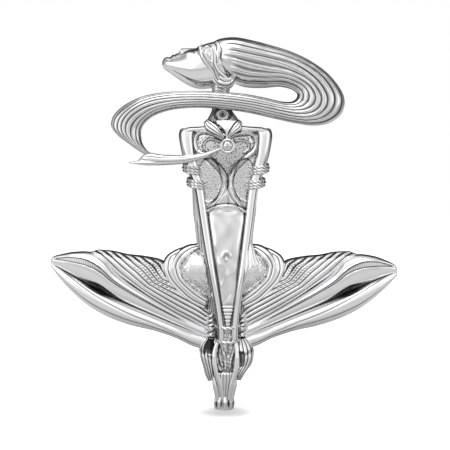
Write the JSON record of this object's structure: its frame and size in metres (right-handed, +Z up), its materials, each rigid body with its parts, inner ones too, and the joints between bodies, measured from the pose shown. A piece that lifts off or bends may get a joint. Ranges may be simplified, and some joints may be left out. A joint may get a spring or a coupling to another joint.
{
  "type": "hood ornament",
  "caption": "Car mascot: a long-haired figure leaning back, arms bound straight down in front, rising from two folded wings on a small screw-mounted foot.",
  "frame": {"origin": "middle of the flat seat under the foot, on the axis of its threaded bush", "axes": "+Z up the figure, -Y the way her chest faces, +X her left; the wings spread along X"},
  "size_m": [0.1488, 0.0228, 0.1595],
  "materials": {
    "polished_silver": "polished",
    "chased_silver": "chased with fine grooves",
    "stippled_silver": "stippled",
    "bush_brass": "turned",
    "core_steel": "drawn rod"
  },
  "bodies": {
    "root": {"core_rod": "core_steel", "socket_bush": "bush_brass", "cross_pin": "core_steel", "ribbon_dowel": "core_steel", "medallion_rivet": "stippled_silver", "hair_tail": "chased_silver", "hair_tip": "chased_silver", "hair_ribbon": "chased_silver", "head": "polished_silver", "ear_lock_left": "chased_silver", "ear_lock_right": "chased_silver", "neck": "polished_silver", "hair_crown": "chased_silver", "wrist_rope_upper": "chased_silver", "wrist_rope_lower": "chased_silver", "arm_band_upper_left": "chased_silver", "arm_band_upper_right": "chased_silver", "arm_band_lower_left": "chased_silver", "arm_band_lower_right": "chased_silver", "arm_left": "polished_silver", "arm_right": "polished_silver", "rope_knot_left": "chased_silver", "rope_knot_right": "chased_silver", "collar_bib": "polished_silver", "chest_scroll_left": "polished_silver", "chest_scroll_right": "polished_silver", "rib_arch": "polished_silver", "belly_plate": "polished_silver", "torso": "stippled_silver", "collar": "chased_silver", "foot": "polished_silver", "leg_left": "polished_silver", "leg_right": "polished_silver", "hand_left": "chased_silver", "hand_right": "chased_silver", "tail_sheath": "chased_silver", "hip_left": "stippled_silver", "hip_right": "stippled_silver", "hip_ring_inner_left": "polished_silver", "hip_ring_inner_right": "polished_silver", "hip_ring_outer_left": "polished_silver", "hip_ring_outer_right": "polished_silver", "wing_petal_left": "polished_silver", "wing_petal_right": "polished_silver", "wing_fan_left": "chased_silver", "wing_fan_right": "chased_silver", "wing_keel_left": "polished_silver", "wing_keel_right": "polished_silver"}
  },
  "joints": []
}
